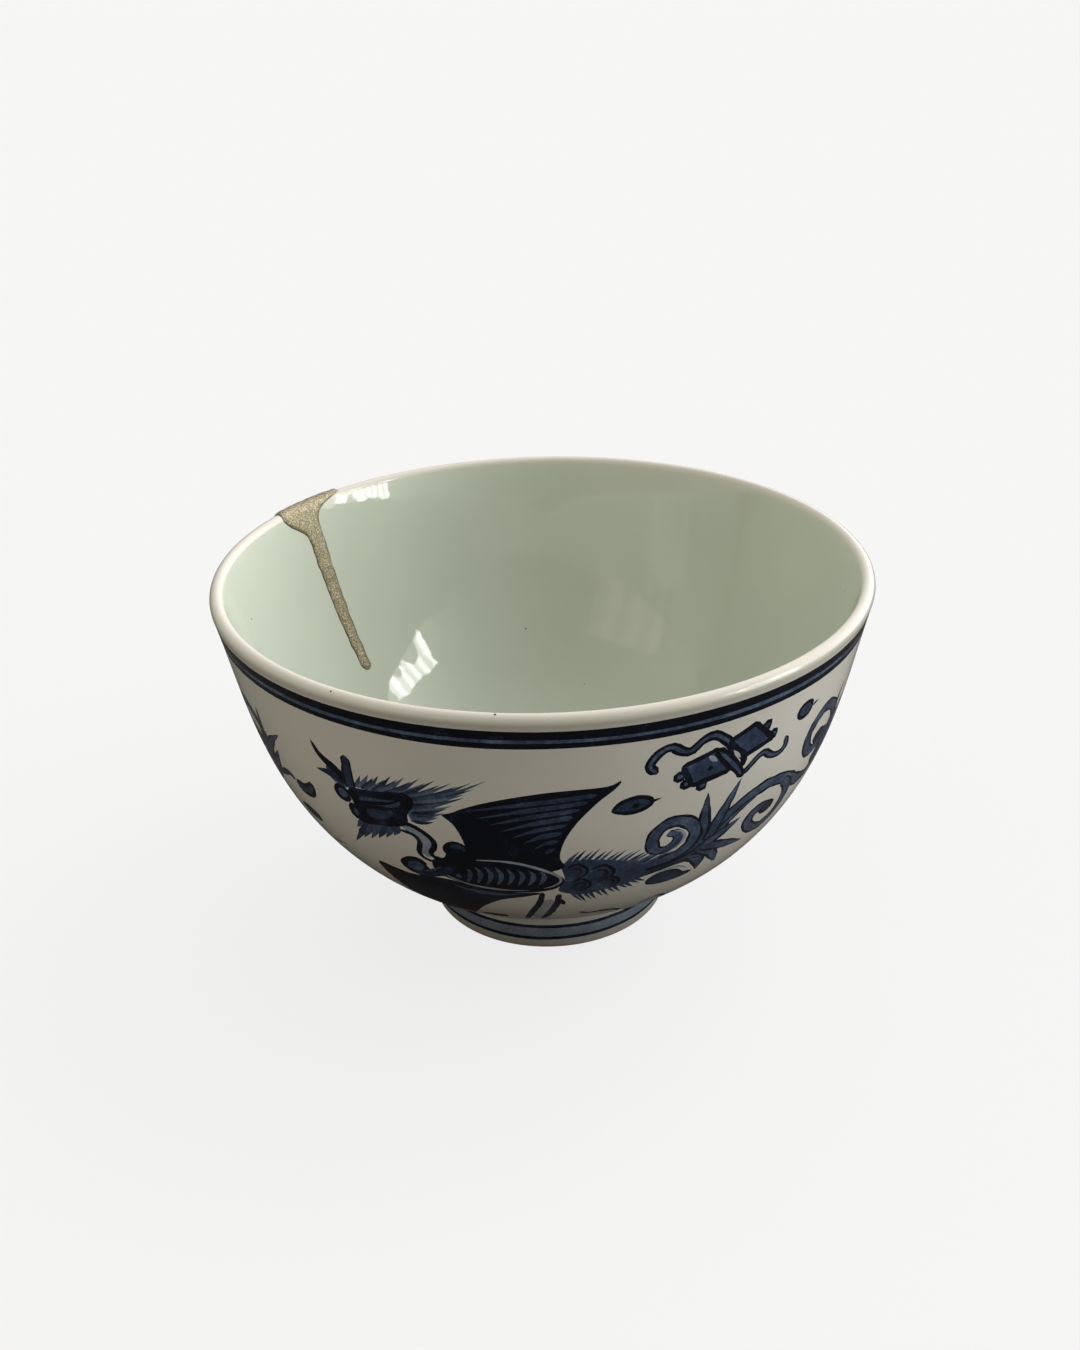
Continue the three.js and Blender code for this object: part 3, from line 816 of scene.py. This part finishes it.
def close_cut(bm, mark_layer):
    """Builds the two broken faces of the wall, from the outer edge of the cut to its inner edge."""
    top = SECTION.rise[-1][1]
    rim = {vert for edge in bm.edges if len(edge.link_faces) == 1 for vert in edge.verts}
    made = []
    for side in (1, -1):
        chains = ([], [])
        for vert in rim:
            azimuth = math.degrees(math.atan2(vert.co.y, vert.co.x)) % 360
            if abs(azimuth - SEAM_AZIMUTH) > CHIP_HALF_SPAN:
                continue
            aside = side * (azimuth - SEAM_AZIMUTH - SEAM_LEAN * (vert.co.z / MM - SEAM_BOTTOM))
            if aside > -ASIDE_SLACK:
                if vert[mark_layer] < top + SLACK:
                    chains[0].append(vert)
                if vert[mark_layer] > top - SLACK:
                    chains[1].append(vert)
        first, second = (sorted(chain, key=lambda vert: vert.co.z) for chain in chains)
        made += zip_chains(bm, first, second)
    return made


def finished_object(name, bm, material, node):
    """An object at the origin holding the bmesh, which stands for a node of the frame."""
    mesh = bpy.data.meshes.new(name)
    bm.to_mesh(mesh)
    bm.free()
    mesh.materials.append(material)
    piece = bpy.data.objects.new(name, mesh)
    bpy.context.scene.collection.objects.link(piece)
    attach(piece, "root")
    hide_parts(node)
    return piece


def build_cup(look):
    """The painted porcelain cup as one closed skin, with the mend's cut through its wall."""
    bm = bmesh.new()
    mark_layer = bm.verts.layers.float.new("mark")
    inside_layer = bm.verts.layers.float.new("inside")
    ink_layer = bm.faces.layers.float.new("ink")
    cut_layer = bm.faces.layers.int.new("broken")
    points, faces, inks = painted_skin()
    verts = []
    for point in points:
        vert = bm.verts.new(wrapped(point.x / DEGREE, point.y))
        vert[mark_layer] = point.y
        verts.append(vert)
    for corners, ink in zip(faces, inks):
        if ink != CUT:
            bm.faces.new([verts[corner] for corner in corners])[ink_layer] = ink
    bmesh.ops.delete(bm, geom=[vert for vert in bm.verts if not vert.link_faces], context="VERTS")
    spin_stretch(bm, 0, SECTION.foot, UNDER_ROWS, mark_layer)
    spin_stretch(bm, SKIN_END, SECTION.end, FLOOR_ROWS, mark_layer)
    bmesh.ops.remove_doubles(bm, verts=bm.verts, dist=WELD * MM)
    bmesh.ops.dissolve_degenerate(bm, edges=bm.edges, dist=WELD * MM / 10)
    fill_slivers(bm)
    for face in close_cut(bm, mark_layer):
        face[cut_layer] = 1
    bmesh.ops.recalc_face_normals(bm, faces=bm.faces)
    for face in bm.faces:
        face.smooth = True
    for vert in bm.verts:
        vert[inside_layer] = smooth_step((vert[mark_layer] - SECTION.lip) / (SECTION.wall - SECTION.lip))
    piece = finished_object("painted_cup", bm, porcelain_material(look), "porcelain_cup")
    set_true_normals(piece.data)


def set_true_normals(mesh):
    """Gives the skin the section's own normals, so that its glaze reflects without facets."""
    marks = [item.value for item in mesh.attributes["mark"].data]
    broken = [item.value for item in mesh.attributes["broken"].data]
    normals = []
    for polygon in mesh.polygons:
        for index in polygon.vertices:
            place = mesh.vertices[index].co
            azimuth = math.degrees(math.atan2(place.y, place.x))
            normals.append(polygon.normal.copy() if broken[polygon.index] else facing(azimuth, marks[index]))
    mesh.normals_split_custom_set(normals)
    mesh.attributes.remove(mesh.attributes["mark"])
    mesh.attributes.remove(mesh.attributes["broken"])


def build_mend(look):
    """The mend, a low bead of gilded lacquer on both faces and over the lip, with the cut's wall between."""
    rows = mend_rows()
    last = len(rows) - 1
    bm = bmesh.new()
    edge_layer = bm.verts.layers.float.new("edge")
    bmesh.ops.create_grid(bm, x_segments=MEND_COLUMNS, y_segments=last, size=0.5)
    columns = ([None] * (last + 1), [None] * (last + 1))
    for vert in bm.verts:
        share = vert.co.x + 0.5
        row = round((vert.co.y + 0.5) * last)
        mark, left, right = rows[row]
        azimuth = lerp(left, right, share)
        radius = SECTION.at(mark).x
        edge = min(share, 1 - share) * (left - right) * radius * math.pi / 180
        rise = 1 - math.exp(-((edge / MEND_SHOULDER) ** 1.4))
        spot = wrapped(azimuth, mark) / MM
        lumps = MEND_LUMPS * wander(spot.x * 0.9, spot.y * 0.9, spot.z * 0.9)
        lumps += MEND_FINE_LUMPS * wander(*(spot * 3.1))
        vert.co = wrapped(azimuth, mark, rise * (look.mend_height / MM + lumps))
        vert[edge_layer] = min(edge, abs(mark - SECTION.lip + LACQUER_RIM))
        if share < 0.001:
            columns[0][row] = vert
        elif share > 0.999:
            columns[1][row] = vert
    top = last // 2
    for column in columns:
        for face in zip_chains(bm, column[: top + 1], column[last: top - 1: -1]):
            for edge in face.edges:
                edge.smooth = False
    bmesh.ops.remove_doubles(bm, verts=bm.verts, dist=WELD * MM)
    bmesh.ops.dissolve_degenerate(bm, edges=bm.edges, dist=WELD * MM / 10)
    bmesh.ops.recalc_face_normals(bm, faces=bm.faces)
    for face in bm.faces:
        face.smooth = True
    finished_object("gold_mend", bm, gold_material(look), "gilded_mend")


class Shader:
    """A node tree of a material, a light or the surroundings, built up node by node."""

    def __init__(self, owner):
        owner.use_nodes = True
        self.owner = owner
        self.tree = owner.node_tree
        self.tree.nodes.clear()

    def add(self, kind, inputs=None, **settings):
        """Adds a node, where an input is a value or the socket that feeds it."""
        node = self.tree.nodes.new("ShaderNode" + kind)
        for key, value in settings.items():
            setattr(node, key, value)
        for key, value in (inputs or {}).items():
            if isinstance(value, bpy.types.NodeSocket):
                self.tree.links.new(value, node.inputs[key])
            else:
                node.inputs[key].default_value = value
        return node

    def mix(self, share, low, high, blend="MIX"):
        """A mix of two colours."""
        node = self.add("Mix", {0: share, 6: low, 7: high}, data_type="RGBA", blend_type=blend)
        return node.outputs[2]

    def dim(self, colour, share):
        """A colour with its lightness multiplied by a number."""
        grey = self.add("CombineColor", {0: share, 1: share, 2: share}).outputs[0]
        return self.mix(1.0, colour, grey, "MULTIPLY")

    def math(self, operation, first, second=0.0):
        """A sum of two numbers, or another operation on them."""
        return self.add("Math", {0: first, 1: second}, operation=operation).outputs[0]

    def span(self, value, low, high, new_low=0.0, new_high=1.0):
        """A value's place in one range, given in another."""
        return self.add("MapRange", {0: value, 1: low, 2: high, 3: new_low, 4: new_high}).outputs[0]

    def noise(self, coordinates, scale, detail=2.0, roughness=0.5):
        """A cloudy pattern from 0 to 1."""
        inputs = {"Vector": coordinates, "Scale": scale, "Detail": detail, "Roughness": roughness}
        return self.add("TexNoise", inputs).outputs[0]

    def ramp(self, value, stops):
        """A colour for each value, between the stops."""
        node = self.add("ValToRGB", {0: value})
        elements = node.color_ramp.elements
        while len(elements) < len(stops):
            elements.new(0.5)
        for element, (position, colour) in zip(elements, stops):
            element.position = position
            element.color = (*colour, 1)
        return node.outputs[0]

    def end(self, result, output="OutputMaterial"):
        """Ends the tree in a result and gives what it belongs to."""
        self.tree.links.new(result, self.add(output).inputs[0])
        return self.owner

    def finish(self, inputs):
        """Ends in a Principled surface and gives the material."""
        return self.end(self.add("BsdfPrincipled", inputs).outputs[0])


def porcelain_material(look):
    """Glazed porcelain with cobalt under the glaze, and bare clay where the foot stands."""
    shader = Shader(bpy.data.materials.new("glazed porcelain"))
    place = shader.add("TexCoord").outputs["Object"]
    height = shader.add("SeparateXYZ", {0: place}).outputs[2]
    ink = shader.add("Attribute", attribute_name="ink").outputs["Fac"]
    inside = shader.add("Attribute", attribute_name="inside").outputs["Fac"]
    cloud = shader.noise(place, 420, 3)
    grain = shader.noise(place, 2600, 2)
    # painted shade: the lip and the outside just below it get a colour darker than the ground
    lip = (*look.lip_painted_shade_colour, 1)
    outside = shader.mix(shader.span(height, *LIP_SHADE_OUTSIDE), (*look.outside_colour, 1), lip)
    # the inside is greener from its pooled glaze, and darker than the outside as painted shade inside the
    # bowl
    ground = shader.mix(inside, outside, (*look.inside_glaze_and_shade, 1))
    ground = shader.mix(shader.span(height, *LIP_SHADE_TOP), ground, lip)
    ground = shader.dim(ground, shader.span(shader.noise(place, 55, 2), 0.3, 0.7, 0.96, 1.03))
    # painted shade: the ground darkens towards the foot, standing for the shade round it near the floor
    ground = shader.dim(ground, shader.span(height, *FOOT_PAINTED_SHADE, look.foot_painted_shade, 1.0))
    cloudy = shader.span(cloud, 0.3, 0.7, 0.84, 1.1)
    density = shader.math("ADD", cloudy, shader.span(grain, 0.35, 0.65, -0.07, 0.07))
    cobalt = shader.ramp(shader.math("MULTIPLY", ink, density), COBALT)
    colour = shader.mix(1.0, ground, cobalt, "MULTIPLY")
    colour = shader.mix(shader.math("GREATER_THAN", ink, (LINE + IRON) / 2), colour, (*look.iron_colour, 1))
    stray = shader.span(shader.noise(place, 900, 2), 0.3, 0.7, -GLAZE_EDGE_STRAY, GLAZE_EDGE_STRAY)
    glazed = shader.span(shader.math("ADD", height, stray), *GLAZE_EDGE)
    colour = shader.mix(glazed, (*look.clay_colour, 1), colour)
    smooth = look.glaze_roughness
    sheen = shader.span(shader.noise(place, 160, 2), 0.3, 0.7, smooth * 0.8, smooth * 1.3)
    roughness = shader.add("Mix", {0: glazed, 2: CLAY_ROUGHNESS, 3: sheen}, data_type="FLOAT").outputs[0]
    fine = shader.math("MULTIPLY", shader.noise(place, 300, 2), 0.25)
    ripple = shader.math("ADD", shader.noise(place, 70, 1), fine)
    bump = shader.add("Bump", {"Strength": 0.5, "Distance": GLAZE_RIPPLE, "Height": ripple}).outputs[0]
    return shader.finish({"Base Color": colour, "Roughness": roughness, "IOR": GLAZE_IOR, "Normal": bump})


def gold_material(look):
    """Powdery gold on lacquer, which shows dark along the mend's edge and where the powder is thin."""
    shader = Shader(bpy.data.materials.new("gilded lacquer"))
    place = shader.add("TexCoord").outputs["Object"]
    edge = shader.add("Attribute", attribute_name="edge").outputs["Fac"]
    grain = shader.noise(place, 5200, 3, 0.7)
    patch = shader.noise(place, 800, 2)
    ragged = shader.math("ADD", edge, shader.span(patch, 0.3, 0.7, -0.08, 0.08))
    line = look.lacquer_line / MM
    powder = shader.span(ragged, line * 0.6, line * 1.2)
    tone = shader.ramp(grain, [(0.34, look.gold_dark), (0.5, look.gold_colour), (0.76, look.gold_light)])
    colour = shader.mix(powder, (*look.lacquer_colour, 1), tone)
    metal = shader.span(powder, 0, 1, 0.0, GOLD_METAL)
    smoother = shader.span(powder, 0, 1, -0.2, 0.0)
    roughness = shader.math("ADD", shader.span(grain, 0.3, 0.7, 0.6, 0.42), smoother)
    bump = shader.add("Bump", {"Strength": 1.0, "Distance": GOLD_GRAIN, "Height": grain}).outputs[0]
    return shader.finish({"Base Color": colour, "Metallic": metal, "Roughness": roughness, "Normal": bump})


def floor_material(look):
    """A pale floor that looks evenly bright and throws little light up at the cup."""
    shader = Shader(bpy.data.materials.new("pale floor"))
    seen = shader.add("LightPath").outputs["Is Camera Ray"]
    dull = shader.add("BsdfDiffuse", {"Color": (*look.bounce_colour, 1)}).outputs[0]
    shadow_catch = (*(channel * look.floor_shadow for channel in look.floor_colour), 1)
    pale = shader.add("BsdfDiffuse", {"Color": shadow_catch}).outputs[0]
    glow = shader.add("Emission", {"Color": (*look.floor_colour, 1), "Strength": look.floor_glow}).outputs[0]
    lit = shader.add("AddShader", {0: pale, 1: glow}).outputs[0]
    return shader.end(shader.add("MixShader", {0: seen, 1: dull, 2: lit}).outputs[0])


def add_surroundings(look):
    """Soft light from all round, brighter from some sides, behind an even backdrop."""
    shader = Shader(bpy.data.worlds.new("surroundings"))
    direction = shader.add("TexCoord").outputs["Generated"]
    light = (0, 0, 0, 1)
    for azimuth, elevation, colour in SIDES:
        side = toward(azimuth, elevation)
        facing_it = shader.add("VectorMath", {0: direction, 1: side}, operation="DOT_PRODUCT")
        share = shader.span(facing_it.outputs["Value"], -1, 1)
        glow = shader.math("POWER", share, SIDE_FOCUS)
        colours = shader.add("VectorMath", {0: colour, "Scale": glow}, operation="SCALE").outputs[0]
        light = shader.mix(1.0, light, colours, "ADD")
    seen = shader.add("LightPath").outputs["Is Camera Ray"]
    backdrop = (*(channel * look.backdrop for channel in look.floor_colour), 1)
    background = shader.add("Background", {0: shader.mix(seen, light, backdrop)}).outputs[0]
    bpy.context.scene.world = shader.end(background, "OutputWorld")


def toward(azimuth, elevation):
    """The direction at that azimuth and elevation from the cup."""
    turn = math.radians(azimuth)
    climb = math.radians(elevation)
    return Vector((math.cos(turn) * math.cos(climb), math.sin(turn) * math.cos(climb), math.sin(climb)))


def breadth(angles):
    """The width of a window that fills those angles, seen from the cup."""
    return 2 * WINDOW_DISTANCE * math.tan(math.radians(angles[1] - angles[0]) / 2)


def square_share(shader, value, middle, reach):
    """The square of a value's distance from the middle, as a share of the reach."""
    share = shader.math("MULTIPLY", shader.math("SUBTRACT", value, middle), 1 / reach)
    return shader.math("MULTIPLY", share, share)


def add_window(name, azimuths, elevations, radiance, colour, bars, shades):
    """A window that fills a range of directions from the cup, barred by a blind and dark where it is shaded.

    A shade is given as the place of its middle and its reach, as shares of the window's width and height.
    """
    direction = toward(sum(azimuths) / 2, sum(elevations) / 2)
    light = bpy.data.lights.new(name, "AREA")
    light.shape = "RECTANGLE"
    light.size = breadth(azimuths)
    light.size_y = breadth(elevations)
    light.energy = radiance * math.pi * light.size * light.size_y
    light.color = colour
    shader = Shader(light)
    place = shader.add("SeparateXYZ", {0: shader.add("NewGeometry").outputs["Parametric"]})
    across, up = place.outputs[:2]
    wave = shader.math("SINE", shader.math("MULTIPLY", across, math.tau * bars))
    strength = shader.span(wave, *BLIND_WAVE, *BLIND_LIGHT)
    for x, y, reach_x, reach_y in shades:
        squares = [square_share(shader, across, x, reach_x), square_share(shader, up, y, reach_y)]
        clear = shader.span(shader.math("ADD", *squares), *SHADE_EDGE)
        strength = shader.math("MULTIPLY", strength, clear)
    shader.end(shader.add("Emission", {"Strength": strength}).outputs[0], "OutputLight")
    lamp = bpy.data.objects.new(name, light)
    lamp.location = direction * WINDOW_DISTANCE + Vector((0, 0, HEIGHT * MM / 2))
    lamp.rotation_euler = direction.to_track_quat("Z", "Y").to_euler()
    lamp.visible_camera = False
    lamp.visible_diffuse = False
    bpy.context.scene.collection.objects.link(lamp)


def add_camera(look):
    """The camera, where the cup is seen from above its rim."""
    data = bpy.data.cameras.new("camera")
    data.lens = look.lens
    data.sensor_width = SENSOR_WIDTH
    data.clip_start = CLIP_START
    camera = bpy.data.objects.new("camera", data)
    drop = Matrix.Rotation(math.pi / 2 - look.camera_drop, 4, "X")
    roll = Matrix.Rotation(look.camera_roll, 4, "Z")
    camera.matrix_world = Matrix.Translation(look.camera_place) @ drop @ roll
    bpy.context.scene.collection.objects.link(camera)
    bpy.context.scene.camera = camera


def build_stage(look):
    """The floor, the lights, the surroundings and the camera."""
    bm = bmesh.new()
    bmesh.ops.create_circle(bm, cap_ends=True, segments=FLOOR_SEGMENTS, radius=FLOOR_RADIUS)
    mesh = bpy.data.meshes.new("floor")
    bm.to_mesh(mesh)
    bm.free()
    mesh.materials.append(floor_material(look))
    floor = bpy.data.objects.new("floor", mesh)
    bpy.context.scene.collection.objects.link(floor)
    add_surroundings(look)
    bpy.context.scene.view_settings.view_transform = "Standard"
    for window in WINDOWS:
        add_window(*window)
    add_camera(look)


def tint(name, description, default):
    """A setting for a colour."""
    return FloatVectorProperty(
        name=name, description=description, default=default, subtype="COLOR", min=0, max=1)


class TeacupLook(bpy.types.PropertyGroup):
    """Sizes and colours of the cup and its mend."""

    outside_colour: tint(
        "Outside", "Porcelain ground on the outside, under clear glaze",
        (0.88, 0.86, 0.8))
    # greener for the pooled glaze, and darker than the outside as painted shade inside the bowl
    inside_glaze_and_shade: tint(
        "Inside", "Porcelain on the inside, under the greener pooled glaze",
        (0.54, 0.585, 0.505))
    # painted shade: the lip's colour is darker than the ground to paint shade onto the lip
    lip_painted_shade_colour: tint(
        "Lip", "Porcelain at the lip, where the glaze runs thin",
        (0.63, 0.615, 0.545))
    clay_colour: tint(
        "Bare clay", "Unglazed clay where the foot ring stands",
        (0.36, 0.27, 0.2))
    iron_colour: tint(
        "Iron speck", "Burnt specks of iron in the glaze",
        (0.045, 0.03, 0.02))
    # painted shade: how much of its lightness the ground keeps at the foot, where shade is painted in
    foot_painted_shade: FloatProperty(
        name="Foot shade", description="How much of its lightness the greyer glaze keeps at the foot",
        default=0.38, min=0, max=1)
    glaze_roughness: FloatProperty(
        name="Glaze roughness", description="Roughness of the glaze", default=0.04, min=0, max=1)
    mend_height: FloatProperty(
        name="Mend height", description="How far the mend stands proud of the glaze", default=0.00028, min=0,
        max=0.001, unit="LENGTH", precision=5)
    lacquer_line: FloatProperty(
        name="Lacquer line", description="Width of the dark lacquer that shows along the mend's edge",
        default=0.00016, min=0, max=0.001, unit="LENGTH", precision=5)
    lacquer_colour: tint(
        "Lacquer", "Dark lacquer under the gold",
        (0.07, 0.045, 0.03))
    gold_colour: tint(
        "Gold", "Gold powder",
        (0.245, 0.217, 0.14))
    gold_light: tint(
        "Bright gold", "The brightest grains",
        (0.68, 0.63, 0.48))
    gold_dark: tint(
        "Worn gold", "Grains where the lacquer shows through",
        (0.15, 0.12, 0.07))


class StageLook(bpy.types.PropertyGroup):
    """The floor, the surroundings and the camera."""

    floor_colour: tint(
        "Floor", "Colour of the pale floor",
        (0.887, 0.887, 0.887))
    floor_glow: FloatProperty(
        name="Floor glow", description="How bright the floor is beyond what the lights give it",
        default=0.9, min=0)
    backdrop: FloatProperty(
        name="Backdrop", description="Brightness of what is seen past the floor, against the floor's",
        default=1.0, min=0)
    bounce_colour: tint(
        "Bounce", "The floor as it throws light up at the cup",
        (0.06, 0.055, 0.05))
    floor_shadow: FloatProperty(
        name="Floor shadow", description="How much of the real light and shade the floor shows",
        default=0.12, min=0, max=1)
    camera_place: FloatVectorProperty(
        name="Camera place", description="Where the camera stands", subtype="TRANSLATION", unit="LENGTH",
        default=(-0.000528, -0.151177, 0.107688), precision=5)
    camera_drop: FloatProperty(
        name="Camera drop", description="How far below the horizon the camera looks", subtype="ANGLE",
        default=math.radians(27.293))
    camera_roll: FloatProperty(
        name="Camera roll", description="How far the camera is turned about its own line of sight",
        subtype="ANGLE", default=math.radians(-1.556))
    lens: FloatProperty(
        name="Lens", description="Focal length, in millimetres on a 36 mm sensor", default=37.43, min=1)


class TEACUP_OT_build_cup(bpy.types.Operator):
    """Build the painted porcelain cup"""

    bl_idname = "teacup.build_cup"
    bl_label = "Build cup"

    def execute(self, context):
        build_cup(context.scene.teacup_look)
        return {"FINISHED"}


class TEACUP_OT_build_mend(bpy.types.Operator):
    """Build the gilded mend in the rim and the seam below it"""

    bl_idname = "teacup.build_mend"
    bl_label = "Build mend"

    def execute(self, context):
        build_mend(context.scene.teacup_look)
        return {"FINISHED"}


class TEACUP_OT_build_stage(bpy.types.Operator):
    """Set the floor, the lights and the camera"""

    bl_idname = "teacup.build_stage"
    bl_label = "Build stage"

    def execute(self, context):
        build_stage(context.scene.teacup_stage)
        return {"FINISHED"}


class TEACUP_PT_panel(bpy.types.Panel):
    """Settings and steps of the teacup"""

    bl_idname = "TEACUP_PT_panel"
    bl_label = "Mended teacup"
    bl_space_type = "VIEW_3D"
    bl_region_type = "UI"
    bl_category = "Teacup"

    def draw(self, context):
        for settings, operators in (
            (context.scene.teacup_look, ("teacup.build_cup", "teacup.build_mend")),
            (context.scene.teacup_stage, ("teacup.build_stage",)),
        ):
            box = self.layout.box()
            for name in settings.__annotations__:
                box.prop(settings, name)
            for name in operators:
                box.operator(name)


OPERATORS = (TEACUP_OT_build_stage, TEACUP_OT_build_cup, TEACUP_OT_build_mend)
CLASSES = (TeacupLook, StageLook, *OPERATORS, TEACUP_PT_panel)


def register():
    """Adds the classes, and their settings to the scene."""
    for item in CLASSES:
        bpy.utils.register_class(item)
    bpy.types.Scene.teacup_look = PointerProperty(type=TeacupLook)
    bpy.types.Scene.teacup_stage = PointerProperty(type=StageLook)


def unregister():
    """Takes them away again."""
    del bpy.types.Scene.teacup_stage
    del bpy.types.Scene.teacup_look
    for item in reversed(CLASSES):
        bpy.utils.unregister_class(item)


def main():
    """Builds everything in order."""
    register()
    bpy.ops.teacup.build_stage()
    bpy.ops.teacup.build_cup()
    bpy.ops.teacup.build_mend()


if __name__ == "__main__":
    main()
